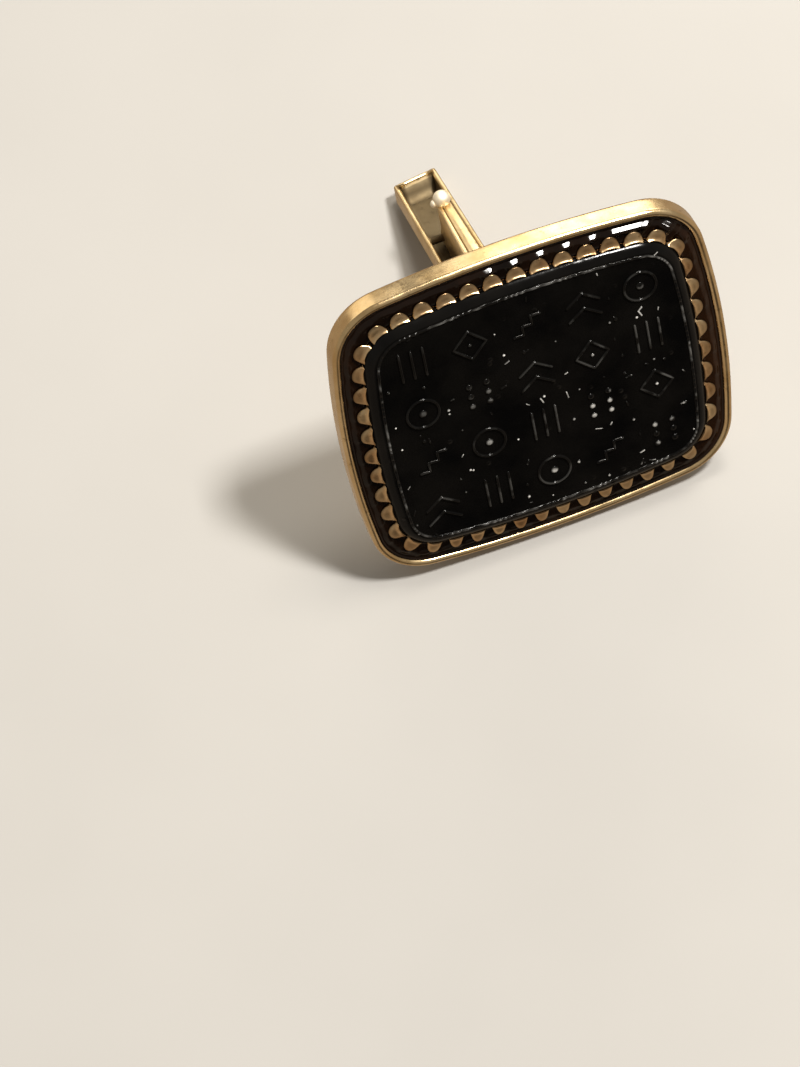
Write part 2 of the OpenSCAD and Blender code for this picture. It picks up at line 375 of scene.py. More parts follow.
class Nodes:
    """A material's node tree, with short calls for the nodes that the finishes share."""

    def __init__(self, name):
        self.material = bpy.data.materials.new(name)
        self.material.use_nodes = True
        self.tree = self.material.node_tree
        self.tree.nodes.clear()
        self.shader = self.tree.nodes.new("ShaderNodeBsdfPrincipled")
        out = self.tree.nodes.new("ShaderNodeOutputMaterial")
        self.link(self.shader.outputs["BSDF"], out.inputs["Surface"])
        self.place = self.tree.nodes.new("ShaderNodeTexCoord").outputs["Object"]

    def link(self, a, b):
        self.tree.links.new(a, b)

    def set(self, socket, value):
        self.shader.inputs[socket].default_value = value

    def noise(self, scale, detail=3.0, rough=0.55):
        node = self.tree.nodes.new("ShaderNodeTexNoise")
        node.inputs["Scale"].default_value = scale
        node.inputs["Detail"].default_value = detail
        node.inputs["Roughness"].default_value = rough
        self.link(self.place, node.inputs["Vector"])
        return node.outputs["Fac"]

    def grains(self, scale):
        """Distance to the nearest of many scattered points, in cells."""
        node = self.tree.nodes.new("ShaderNodeTexVoronoi")
        node.inputs["Scale"].default_value = scale
        self.link(self.place, node.inputs["Vector"])
        return node.outputs["Distance"]

    def ramp(self, value, low, high, to_low=0.0, to_high=1.0):
        node = self.tree.nodes.new("ShaderNodeMapRange")
        node.inputs["From Min"].default_value = low
        node.inputs["From Max"].default_value = high
        node.inputs["To Min"].default_value = to_low
        node.inputs["To Max"].default_value = to_high
        self.link(value, node.inputs["Value"])
        return node.outputs["Result"]

    def maths(self, kind, a, b):
        node = self.tree.nodes.new("ShaderNodeMath")
        node.operation = kind
        for socket, value in zip(node.inputs, (a, b)):
            if isinstance(value, float):
                socket.default_value = value
            else:
                self.link(value, socket)
        return node.outputs["Value"]

    def blend(self, a, b, share):
        """a plus b times share."""
        return self.maths("ADD", a, self.maths("MULTIPLY", b, share))

    def mix(self, share, a, b):
        node = self.tree.nodes.new("ShaderNodeMix")
        node.data_type = "RGBA"
        self.link(share, node.inputs["Factor"])
        for socket, value in zip((node.inputs[6], node.inputs[7]), (a, b)):
            if isinstance(value, tuple):
                socket.default_value = (*value, 1.0)
            else:
                self.link(value, socket)
        return node.outputs[2]

    def attribute(self, name):
        node = self.tree.nodes.new("ShaderNodeAttribute")
        node.attribute_name = name
        return node.outputs["Fac"]

    def bump(self, height, strength, distance):
        node = self.tree.nodes.new("ShaderNodeBump")
        node.inputs["Strength"].default_value = strength
        node.inputs["Distance"].default_value = distance
        self.link(height, node.inputs["Height"])
        self.link(node.outputs["Normal"], self.shader.inputs["Normal"])


SPECK_SHARE = 0.5
SPECK_DARK = 0.5
POLISH_SHARE = 0.7
GOLD_BUMP = 0.00003
GLASS_DARK = (0.0012, 0.0012, 0.0013)
GLASS_CLOUD = (0.004, 0.0036, 0.0032)
# Pale colour painted on crests: painted glints
GLASS_GLINT_PALE = (0.8, 0.79, 0.76)
ENAMEL_DARK = (0.003, 0.0015, 0.0009)
ENAMEL_CLOUD = (0.010, 0.004, 0.0017)
# Red-brown of the painted reflection of the gold wall
ENAMEL_REFLECTED_GOLD = (0.04, 0.014, 0.004)
GLAZE_BUMP = 0.00005


def gold(name, bright, dull, tarnish_and_shade, smooth_at, rough_at, matt=0.0):
    """Worn rolled gold: clouds, dark specks and an uneven polish; dark and matt where deep is 1: tarnish,
    and painted shade in recesses.
    """
    m = Nodes(name)
    m.set("Metallic", 1.0)
    cloud = m.ramp(m.noise(330.0, 5.0, 0.62), low=0.38, high=0.64)
    speck = m.ramp(m.noise(2300.0, 2.0, 0.5), low=0.63, high=0.72)
    colour = m.mix(cloud, bright, dull)
    dark = tuple(SPECK_DARK * c for c in dull)
    colour = m.mix(m.maths("MULTIPLY", speck, SPECK_SHARE), colour, dark)
    # Where deep is 1 the gold turns to its dark colour: tarnish, and painted shade
    colour = m.mix(m.attribute("deep"), colour, tarnish_and_shade)
    m.link(colour, m.shader.inputs["Base Color"])
    polish = m.blend(m.noise(240.0), m.noise(1900.0), share=0.43)
    polish = m.maths("MULTIPLY", polish, POLISH_SHARE)
    rough = m.ramp(polish, low=0.38, high=0.62, to_low=smooth_at, to_high=rough_at)
    m.link(m.blend(rough, m.attribute("deep"), matt), m.shader.inputs["Roughness"])
    dents = m.blend(m.noise(520.0, 2.0), m.noise(2400.0, 4.0, 0.65), share=0.3)
    m.bump(dents, strength=0.22, distance=GOLD_BUMP)
    return m.material


def black_glass():
    """Pressed black glass: glossy, with faint ripples and specks, and crests painted pale where deep is 1:
    painted glints.
    """
    m = Nodes("black_glass")
    cloud = m.ramp(m.noise(300.0, 3.0), low=0.35, high=0.65)
    colour = m.mix(cloud, GLASS_DARK, GLASS_CLOUD)
    patches = m.ramp(m.noise(620.0, 2.0), low=0.48, high=0.58)
    # Crests painted pale in patches: painted glints
    glint = m.maths("MULTIPLY", m.attribute("deep"), patches)
    colour = m.mix(glint, colour, GLASS_GLINT_PALE)
    m.link(colour, m.shader.inputs["Base Color"])
    m.set("IOR", 1.5)
    m.set("Specular IOR Level", 0.16)
    rough = m.ramp(m.noise(700.0, 4.0, 0.6), low=0.35, high=0.7, to_low=0.07, to_high=0.2)
    m.link(rough, m.shader.inputs["Roughness"])
    specks = m.ramp(m.grains(900.0), low=0.05, high=0.16, to_low=1.0, to_high=0.0)
    specks = m.maths("MULTIPLY", specks, m.ramp(m.noise(420.0, 1.0), low=0.47, high=0.55))
    ripple = m.blend(m.noise(380.0, 2.0), m.noise(2600.0, 3.0), share=0.35)
    m.bump(m.blend(ripple, specks, share=1.2), strength=0.5, distance=GLAZE_BUMP)
    return m.material


def dark_enamel():
    """Glossy enamel, nearly black, that turns red-brown where deep is 1: a painted reflection of the gold
    wall.
    """
    m = Nodes("dark_enamel")
    cloud = m.ramp(m.noise(260.0, 4.0, 0.6), low=0.4, high=0.68)
    colour = m.mix(cloud, ENAMEL_DARK, ENAMEL_CLOUD)
    # Painted reflection: red-brown where deep is 1
    colour = m.mix(m.attribute("deep"), colour, ENAMEL_REFLECTED_GOLD)
    m.link(colour, m.shader.inputs["Base Color"])
    m.set("IOR", 1.52)
    m.set("Specular IOR Level", 0.24)
    rough = m.ramp(m.noise(800.0, 4.0, 0.6), low=0.35, high=0.7, to_low=0.06, to_high=0.18)
    m.link(rough, m.shader.inputs["Roughness"])
    m.bump(m.noise(900.0, 3.0, 0.6), strength=0.25, distance=GLAZE_BUMP)
    return m.material


rim_gold = gold(
    "rim_gold",
    bright=(0.86, 0.66, 0.38),
    dull=(0.66, 0.46, 0.22),
    tarnish_and_shade=(0.05, 0.022, 0.007),
    smooth_at=0.16,
    rough_at=0.34,
)
bezel_gold = gold(
    "bezel_gold",
    bright=(0.86, 0.65, 0.38),
    dull=(0.60, 0.36, 0.17),
    tarnish_and_shade=(0.04, 0.018, 0.007),
    smooth_at=0.24,
    rough_at=0.46,
)
toggle_gold = gold(
    "toggle_gold",
    bright=(0.84, 0.66, 0.38),
    dull=(0.66, 0.48, 0.24),
    tarnish_and_shade=(0.075, 0.056, 0.034),
    smooth_at=0.24,
    rough_at=0.46,
    matt=0.36,
)
# The ball and its bead get a near-white gold, paler than the rest: a painted highlight
ball_lit_gold = gold(
    "ball_lit_gold",
    bright=(1.0, 0.93, 0.78),
    dull=(0.96, 0.84, 0.62),
    tarnish_and_shade=(0.3, 0.2, 0.1),
    smooth_at=0.55,
    rough_at=0.7,
)
# The pin's dark colour paints its middle as shade
pin_gold = gold(
    "pin_gold",
    bright=(0.80, 0.61, 0.34),
    dull=(0.58, 0.40, 0.18),
    tarnish_and_shade=(0.16, 0.12, 0.07),
    smooth_at=0.2,
    rough_at=0.4,
    matt=0.36,
)
glass = black_glass()
enamel = dark_enamel()

# Rim, plate, post and ball


def rim_shape():
    """The rim and its back plate: a closed shell, swept round the outline."""
    along = stations(RIM_PATH, RIM_STATIONS)
    back = -RIM_D
    plate_back = -RIM_D + BACK_RECESS
    small = BACK_EDGE_R
    large = BACK_TURN_R
    under = [(-PLATE_IN, plate_back), (-1.4, plate_back), (-1.0, plate_back)]
    under += round_corner((-BACK_EDGE_W - small, plate_back - small), small, 90, 0, 4)
    under += round_corner((-BACK_EDGE_W + small, back + small), small, 180, 270, 4)
    under += [(-0.6, back), (-0.4, back)]
    under += round_corner((-large, back + large), large, -90, 0, 7)
    under += [(0.0, -1.1), (0.0, -0.7), (0.0, -0.35)]
    shape = Shape()
    rings = [shape.ring([(x + nx * off, y + ny * off, z) for x, y, nx, ny in along]) for off, z in under]
    for k in range(LIP_STEPS + 1):
        a = math.pi * k / LIP_STEPS
        points = []
        for x, y, nx, ny in along:
            half = lip_width(nx) / 2
            off = half * (math.cos(a) - 1)
            points.append((x + nx * off, y + ny * off, LIP_W / 2 * (math.sin(a) - 1)))
        # The lip's inner side is painted dark: painted shade
        rings.append(shape.ring(points, smooth(0.72, 0.95, k / LIP_STEPS)))
    # The walls below the lip are painted dark: painted shade
    for z in (-0.4, -0.6, FLOOR_Z):
        points = [(x - nx * lip_width(nx), y - ny * lip_width(nx), z) for x, y, nx, ny in along]
        rings.append(shape.ring(points, 1.0))
    for off in (-0.8, -PLATE_IN):
        rings.append(shape.ring([(x + nx * off, y + ny * off, FLOOR_Z) for x, y, nx, ny in along]))
    shape.skin(rings)
    shape.cap(rings[0])
    shape.cap(rings[-1])
    return shape


def post_shape():
    """The flat post: its side outline, given a tapered thickness, round edges and a seam."""
    root_z = -RIM_D + BACK_RECESS + PLATE_T / 2
    taper = (POST_ROOT_T - POST_T) / (root_z + PIVOT_BACK)
    low = PIVOT_UP - POST_END_R
    top = PIVOT_UP + POST_TOP
    end = -PIVOT_BACK
    # The side outline, from the root along the underside, round the pivot, up and back
    side = []
    for k in range(13):
        side.append((mixed(root_z, end, k / 12), low, 0.0, -1.0))
    for k in range(1, 12):
        a = math.radians(-90 - 90 * k / 11)
        nz = math.cos(a)
        ny = math.sin(a)
        side.append((end + POST_END_R * nz, PIVOT_UP + POST_END_R * ny, nz, ny))
    face = -PIVOT_BACK - NOSE_OUT
    side.append((face - 0.1, PIVOT_UP + 0.75, -1.0, 0.2))
    side.append((face, PIVOT_UP + 1.1, -1.0, 0.0))
    side.append((face, PIVOT_UP + 1.6, -1.0, 0.0))
    for k in range(7):
        a = math.radians(180 - 90 * k / 6)
        nz = math.cos(a)
        ny = math.sin(a)
        side.append((face + NOSE_R * (1 + nz), top + NOSE_R * (ny - 1), nz, ny))
    for k in range(1, 13):
        side.append((mixed(face + NOSE_R, root_z, k / 12), top, 0.0, 1.0))
    # Across the thickness: a share of the half width, and how far the skin lies in there
    edge = POST_EDGE
    across = [(-1.0, edge), (-0.985, edge * 0.62), (-0.94, edge * 0.29), (-0.87, edge * 0.08), (-0.76, 0.0)]
    across += [(-0.44, 0.0), (-0.38, 0.02), (-0.34, 0.09), (-0.28, 0.1), (-0.22, 0.035), (-0.14, 0.0)]
    across += [(0.3, 0.0), (0.7, 0.0), (0.86, edge * 0.09), (0.94, edge * 0.3)]
    across += [(0.985, edge * 0.64), (1.0, edge)]
    shape = Shape()
    rings = []
    for share, inset in across:
        seam = SEAM[0] < share < SEAM[1]
        points = []
        for z, y, nz, ny in side:
            half = (POST_T + taper * (z + PIVOT_BACK)) / 2
            by = inset if not seam or ny > 0.5 else 0.0
            right = POST_RIGHT * max(0.0, share)
            points.append((CENTRE_OFF + share * half + right, y - ny * by, z - nz * by))
        # In the seam's groove deep paints the top dark: painted shade
        rings.append(shape.ring(points, 1.0 if SEAM_DARK[0] < share < SEAM_DARK[1] else 0.0))
    shape.skin(rings)
    shape.cap(rings[0])
    shape.cap(rings[-1])
    return shape


def ball_shape():
    """The ball on the post's end, with the small bead of solder beside it."""
    shape = Shape()
    cz = -PIVOT_BACK
    post_top = PIVOT_UP + POST_TOP
    ball = (CENTRE_OFF, post_top + BALL_UP, BALL_R, 28, 18)
    solder = (CENTRE_OFF - BEAD_LEFT, post_top + BEAD_UP, BEAD_R, 20, 12)
    for cx, cy, r, sides, rows in (ball, solder):
        rings = []
        for j in range(1, rows):
            b = math.pi * j / rows
            points = []
            for i in range(sides):
                a = 2 * math.pi * i / sides
                out = r * math.sin(b)
                points.append((cx + out * math.cos(a), cy + r * math.cos(b), cz + out * math.sin(a)))
            rings.append(shape.ring(points))
        shape.skin(rings)
        top = shape.ring([(cx, cy + r, cz)])[0]
        low = shape.ring([(cx, cy - r, cz)])[0]
        for i in range(sides):
            j = (i + 1) % sides
            shape.faces.append((top, rings[0][j], rings[0][i]))
            shape.faces.append((low, rings[-1][i], rings[-1][j]))
    return shape


piece("rim_case", rim_shape(), "face", rim_gold, ("frame",))
piece("post_bar", post_shape(), "face", toggle_gold)
piece("post_ball", ball_shape(), "face", ball_lit_gold)

# Bezel with its row of lobes


def across_lobe(i):
    """Where a station lies across its lobe: 0 in the middle, -1 and 1 half way to the next."""
    return 2 * ((i % PER_LOBE) / PER_LOBE) - 1


def lobe_half(ny):
    """A lobe's half width as a share of its pitch: less along the bottom."""
    return mixed(LOBE_HALF, LOW_LOBE_HALF, smooth(0.4, 0.95, -ny))


def lobe_reach(a, half):
    """How far the lobe stands out, as a share: a bell with a round tip."""
    return (1 - min(1.0, a / half) ** BELL[0]) ** BELL[1]


def bezel_shape():
    """The wall round the plaque, cut into separate lobes that fall steeply and then gently outward."""
    along = lobe_stations(BEZEL_PATH)
    count = len(along)
    shape = Shape()
    rings = []

    def add(spots):
        """One ring, from an offset, a height and a tarnish for each station."""
        points = []
        for (x, y, nx, ny), (off, z, deep) in zip(along, spots):
            points.append((x + nx * off, y + ny * off, z))
        rings.append(shape.ring(points, [spot[2] for spot in spots]))

    def surface(i, r):
        """The lobe's top, from its arched inner edge at r = 0 to its outline at r = 1."""
        a = abs(across_lobe(i))
        nx = along[i][2]
        ny = along[i][3]
        low = max(0.0, -ny)
        half = lobe_half(ny)
        edge = mixed(ARCH[0], ARCH[1], smooth(0.2, half, a))
        out = LOBE_OUT + LOW_LOBE_MORE * low - RIGHT_LOBE_LESS * max(0.0, nx)
        out += LOBE_UNEVEN * math.sin(UNEVEN_TURN * (i // PER_LOBE))
        reach = max(0.05, (out - edge) * lobe_reach(a, half)) * r
        gap = smooth(half - SOFT, half + SOFT, a)
        cove = COVE_H * (1 - math.exp(-reach / COVE_W))
        dome = SIDES_FALL * a * a * min(1.0, reach / 0.2)
        tip = r ** TIP_POWER
        z = BEZEL_RISE - cove - SLOPE * reach - dome - TIP_FALL * tip
        # deep darkens the lobe's slope and tip, less along the bottom, and the gap between lobes: painted
        # shade, with some tarnish
        deep = TOP_SHADE_AND_TARNISH * smooth(0.02, 0.14, reach) + TIP_SHADE_AND_TARNISH * tip
        deep *= 1 - LOW_LESS_SHADE * low
        return (edge + reach, mixed(z, NOTCH_Z, gap), mixed(deep, 1.0, gap))

    outline = [surface(i, 1.0) for i in range(count)]
    sunk = ENAMEL_OUT - 0.1
    # From the lobes' outline down into the enamel, and down the wall inside, the gold is painted dark:
    # painted shade
    add([(off + 0.01, sunk, 1.0) for off, z, deep in outline])
    add([(off + 0.01, z - 0.06, 1.0) for off, z, deep in outline])
    for r in LOBE_ROWS:
        add([surface(i, r) for i in range(count)])
    inner = [surface(i, 0.0) for i in range(count)]
    add([(off - 0.012, z - 0.004, 0.6) for off, z, deep in inner])
    add([(-BEZEL_T, z - 0.05, 1.0) for off, z, deep in inner])
    add([(-BEZEL_T, FLOOR_Z, 1.0)] * count)
    add([(0.0, FLOOR_Z, 1.0)] * count)
    shape.skin(rings)
    shape.bridge(rings[-1], rings[0])
    return shape


piece("bezel_lobes", bezel_shape(), "face", bezel_gold, ("bezel",))

# Enamel in the moat


def moat_shape():
    """The enamel's wavy surface, high round the lobes and low beside the lip."""
    inner = lobe_stations(BEZEL_PATH)
    outer = lobe_stations(RIM_PATH)
    count = len(inner)
    moat_w = (FACE_W - BEZEL_W) / 2 - LIP_W
    shape = Shape()
    rings = []
    for j in range(MOAT_ROWS + 1):
        s = j / MOAT_ROWS
        off = s * moat_w
        points = []
        deep = []
        for i in range(count):
            x0, y0, nx0, ny0 = inner[i]
            x1, y1, nx1, ny1 = outer[i]
            inset = lip_width(nx1) + LIP_GAP
            a = (x0 + nx0 * SEAT_GAP, y0 + ny0 * SEAT_GAP)
            b = (x1 - nx1 * inset, y1 - ny1 * inset)
            across = across_lobe(i)
            level = mixed(ENAMEL_IN, ENAMEL_OUT, smooth(*ENAMEL_DROP, s))
            lobe = i / PER_LOBE - 0.5
            streak = smooth(STREAK[0] - STREAK_SOFT, STREAK[0], lobe)
            streak *= 1 - smooth(STREAK[1], STREAK[1] + STREAK_SOFT, lobe)
            over = max(math.exp(-(across / HILL_HALF) ** 4), streak)
            fall = min(1.0, max(0.0, (off - HILL_FALL[0]) / (HILL_FALL[1] - HILL_FALL[0])))
            upper = smooth(*HILLS_UP, ny1) * smooth(*HILLS_RIGHT, nx1)
            hill = HILL * over * (1 - fall) * smooth(*HILL_START, off) * mixed(LOW_HILL, 1.0, upper)
            hill += HILL_TURN * (HILL_FACING - nx1) * across * over * upper * (1 - streak)
            fill = FILL * math.exp(-off / FILL_W) * abs(across)
            climb = CLIMB * math.exp(-(1 - s) / CLIMB_W)
            points.append((mixed(a[0], b[0], s), mixed(a[1], b[1], s), level + hill + fill + climb))
            # The right side is painted red-brown: a painted reflection of the gold wall
            deep.append(PAINTED_REFLECTION_RIGHT * smooth(0.5, 1.0, nx1))
        rings.append(shape.ring(points, deep))
    foot_out = []
    for x, y, nx, ny in outer:
        inset = lip_width(nx) + LIP_GAP
        foot_out.append((x - nx * inset, y - ny * inset, FLOOR_Z))
    foot_in = [(x + nx * SEAT_GAP, y + ny * SEAT_GAP, FLOOR_Z) for x, y, nx, ny in inner]
    rings.append(shape.ring(foot_out))
    rings.append(shape.ring(foot_in))
    shape.skin(rings)
    shape.bridge(rings[-1], rings[0])
    return shape


piece("moat_enamel", moat_shape(), "face", enamel, ("enamel",))

# Plaque with its bevelled edge, frame line and relief

RELIEF = [
    ["bars", "lozenge", "steps", "chevron", "loop"],
    ["loop", "dots", "chevron", "lozenge", "bars"],
    ["steps", "loop", "bars", "dots", "lozenge"],
    ["chevron", "bars", "loop", "steps", "dots"],
]
MOTIF_SHARE = 0.62
FIELD_IN = 0.7
FRAME_STEPS = 900
DASH_TURN = 2 * math.pi / 11
DASH_SWAY = 7.0
DASH_GAPS = 0.75
SUNK = 0.03
BEAD_SIDES = 10
LOOP_SIDES = 28

# How much painted glint the relief gets at a place, and how pale that paints each kind of crest
GLINT_MIDDLE = 0.5
GLINT_RIGHT = 0.05
GLINT_DOWN = 0.06
GLINT_LEAST = 0.1
FRAME_GLINT = 0.17
STROKE_GLINT = 0.08
LOOP_GLINT = 0.05
DOT_GLINT = 0.7
CRUMB_BEAD_GLINT = 1.0
CRUMB_STROKE_GLINT = 0.55

# The crumbs between the motifs: how many, how they gather lower down, their sizes, and the
# shares of them in the upright lanes and of round ones
CRUMBS = 80
CRUMB_SEED = 7
CRUMB_DOWN = 0.7
CRUMB_SIZE = (0.045, 0.085)
CRUMB_BEAD = (1.6, 1.2)
CRUMB_STROKE = 1.8
CRUMB_REACH = (0.06, 0.22)
CRUMB_UPRIGHT = 0.5
CRUMB_ROUND = 0.6


def ridge(shape, points, closed, width, height, base, gaps=0.0, glint=0.0):
    """A low raised line with a round top along points in X and Y; gaps makes it a row of dashes."""
    n = len(points)
    sides = []
    for i in range(n):
        before = points[(i - 1) % n] if closed or i > 0 else points[i]
        after = points[(i + 1) % n] if closed or i < n - 1 else points[i]
        dx = after[0] - before[0]
        dy = after[1] - before[1]
        length = math.hypot(dx, dy) or 1.0
        sides.append((-dy / length, dx / length, dx / length, dy / length))
    angles = [math.radians(a) for a in (180, 158, 132, 108, 90, 72, 48, 22, 0)]

    def ring_at(i, scale, push):
        x, y = points[i]
        sx, sy, tx, ty = sides[i]
        x += tx * push
        y += ty * push
        half = width / 2 * scale
        wave = 0.5 + 0.5 * math.cos(i * DASH_TURN + DASH_SWAY * math.sin(i / DASH_SWAY))
        tall = height * scale * (1 - gaps * wave ** 2)
        ring = []
        pale = []
        for a in angles:
            out = half * math.cos(a)
            up = tall * math.sin(a) if 0 < a < math.pi else -SUNK
            ring.append((x + sx * out, y + sy * out, base + up))
            # The crest is painted pale, broken up with the dashes: a painted glint
            pale.append(glint * (1 - gaps * wave) * smooth(0.6, 0.93, math.sin(a)))
        return shape.ring(ring, pale)

    rings = []
    if not closed:
        rings.append(ring_at(0, 0.35, -width * 0.42))
        rings.append(ring_at(0, 0.8, -width * 0.25))
    for i in range(n):
        rings.append(ring_at(i, 1.0, 0.0))
    if not closed:
        rings.append(ring_at(n - 1, 0.8, width * 0.25))
        rings.append(ring_at(n - 1, 0.35, width * 0.42))
    shape.skin(rings, False)
    if closed:
        shape.bridge(rings[-1], rings[0], False)
    else:
        shape.cap(rings[0])
        shape.cap(rings[-1])


def circle(x, y, r, steps):
    turns = [2 * math.pi * k / steps for k in range(steps)]
    return [(x + r * math.cos(a), y + r * math.sin(a)) for a in turns]


def bead(shape, x, y, r, high, base, glint):
    """A small round bead, painted pale on top: a painted glint."""
    rings = [shape.ring([(px, py, base - SUNK) for px, py in circle(x, y, r, BEAD_SIDES)])]
    for k in (0.96, 0.84, 0.64, 0.42, 0.2):
        z = base + high * math.sqrt(1 - k * k)
        spots = [(px, py, z) for px, py in circle(x, y, r * k, BEAD_SIDES)]
        rings.append(shape.ring(spots, glint * (1 - smooth(0.4, 0.85, k))))
    shape.skin(rings)
    shape.cap(rings[0])
    shape.cap(rings[-1])


def segment(a, b, steps=4):
    return [(mixed(a[0], b[0], k / steps), mixed(a[1], b[1], k / steps)) for k in range(steps + 1)]


def glint_share(x, y):
    """How much painted glint the relief gets at a place: more towards the bottom and the right."""
    return min(1.0, max(GLINT_LEAST, GLINT_MIDDLE + GLINT_RIGHT * x - GLINT_DOWN * y))


def motif(shape, name, x, y, s, base):
    """One generic motif of the relief, the same as the CAD's, in a square of side s."""
    line = LINE_W
    half = line / 2
    high = RELIEF_H
    # How pale the crests are painted here: painted glints
    glint = glint_share(x, y)

    def stroke(a, b):
        ridge(shape, segment(a, b), False, line, high, base, glint=STROKE_GLINT * glint)

    def dot(cx, cy, r):
        bead(shape, cx, cy, 2 * r, high, base, DOT_GLINT * glint)

    if name == "loop":
        points = circle(x, y, s / 2 - half, LOOP_SIDES)
        ridge(shape, points, True, line, high, base, glint=LOOP_GLINT * glint)
        dot(x, y, s / 16)
    if name == "lozenge":
        r = s * 0.72 / math.sqrt(2) - half
        ends = [(x + r, y), (x, y + r), (x - r, y), (x, y - r)]
        points = []
        for a, b in zip(ends, ends[1:] + ends[:1]):
            points += segment(a, b, 5)[:-1]
        ridge(shape, points, True, line, high, base, glint=STROKE_GLINT * glint)
        dot(x, y, line * 0.35)
    if name == "bars":
        for k in (-1, 0, 1):
            cx = x + k * s / 3
            stroke((cx, y - s / 2 + half), (cx, y + s / 2 - half))
    if name == "steps":
        for k in (-1, 0, 1):
            cx = x + k * s / 3.6
            cy = y + k * s / 3.6
            stroke((cx - s / 6 + half, cy), (cx + s / 6 - half, cy))
        for k in (-1, 1):
            cx = x + k * s / 7.2
            cy = y + k * s / 7.2
            stroke((cx, cy - s / 7.2), (cx, cy + s / 7.2))
    if name == "chevron":
        for k in (-1, 1):
            cy = y + k * s / 4
            points = segment((x - s / 2 + half, cy - s / 6), (x, cy + s / 6))
            points += segment((x, cy + s / 6), (x + s / 2 - half, cy - s / 6))[1:]
            ridge(shape, points, False, line, high, base, glint=STROKE_GLINT * glint)
    if name == "dots":
        for kx in (-1, 1):
            for ky in (-1, 0, 1):
                dot(x + kx * s / 4, y + ky * s / 3, s / 20)


def crumbs(shape, cell_w, cell_h, base):
    """Small beads and short strokes in the lanes between the motifs, closer together lower down."""
    draw = random.Random(CRUMB_SEED)
    lane = (1 - MOTIF_SHARE) / 2
    cols = len(RELIEF[0])
    rows = len(RELIEF)
    for k in range(CRUMBS):
        col = draw.randrange(cols + 1)
        down = draw.random() ** CRUMB_DOWN * rows
        shift = draw.uniform(-0.5, 0.5) * lane
        if draw.random() < CRUMB_UPRIGHT:
            x = (col - cols / 2 + shift * (0 < col < cols)) * cell_w
            y = (rows / 2 - down) * cell_h
        else:
            x = (draw.random() - 0.5) * cols * cell_w
            y = (rows / 2 - round(down) + shift * (0 < round(down) < rows)) * cell_h
        size = draw.uniform(*CRUMB_SIZE)
        turn = draw.uniform(0.0, math.pi)
        # The crumbs' crests are painted pale: painted glints
        if draw.random() < CRUMB_ROUND:
            bead(shape, x, y, CRUMB_BEAD[0] * size, CRUMB_BEAD[1] * size, base, CRUMB_BEAD_GLINT)
        else:
            reach = draw.uniform(*CRUMB_REACH)
            ends = [(x - reach * math.cos(turn), y - reach * math.sin(turn))]
            ends.append((x + reach * math.cos(turn), y + reach * math.sin(turn)))
            wide = CRUMB_STROKE * size
            ridge(shape, segment(*ends), False, wide, size, base, glint=CRUMB_STROKE_GLINT)


def plaque_shape():
    """The plaque with its rounded bevel, its dashed frame line, the motifs and the crumbs."""
    edge = -BEZEL_T - SEAT_GAP
    along = stations(BEZEL_PATH, FRAME_STEPS)
    top = PLAQUE_RISE
    foot = top - BEVEL_H
    shape = Shape()
    profile = [(edge - 1.0, FLOOR_Z), (edge, FLOOR_Z), (edge, 0.1), (edge, foot - 0.02)]
    steep = math.radians(BEVEL_STEEP)
    across = BEVEL_W + BEVEL_RUN
    round_r = across / math.sin(steep)
    for k in range(BEVEL_ROWS + 1):
        a = steep * (1 - k / BEVEL_ROWS)
        profile.append((edge - across + round_r * math.sin(a), top - round_r * (1 - math.cos(a))))
    profile += [(edge - across - 0.1, top), (edge - across - 0.3, top)]
    shape.sweep(along, profile)
    inset = edge - BORDER_W - LINE_W / 2
    line = [(x + nx * inset, y + ny * inset) for x, y, nx, ny in along]
    # The frame line's crests are painted pale in dashes: painted glints
    ridge(shape, line, True, LINE_W, RELIEF_H, top, DASH_GAPS, FRAME_GLINT)
    cell_w = (BEZEL_W + 2 * edge - 2 * BORDER_W - 2 * FIELD_IN) / len(RELIEF[0])
    cell_h = (BEZEL_H + 2 * edge - 2 * BORDER_W - 2 * FIELD_IN) / len(RELIEF)
    size = MOTIF_SHARE * min(cell_w, cell_h)
    for row, names in enumerate(RELIEF):
        for col, name in enumerate(names):
            x = (col + 0.5 - len(names) / 2) * cell_w
            y = (len(RELIEF) / 2 - row - 0.5) * cell_h
            motif(shape, name, x, y, size, top)
    crumbs(shape, cell_w, cell_h, top)
    return shape


piece("plaque_glass", plaque_shape(), "face", glass, ("plaque",))

# Toggle and its pin


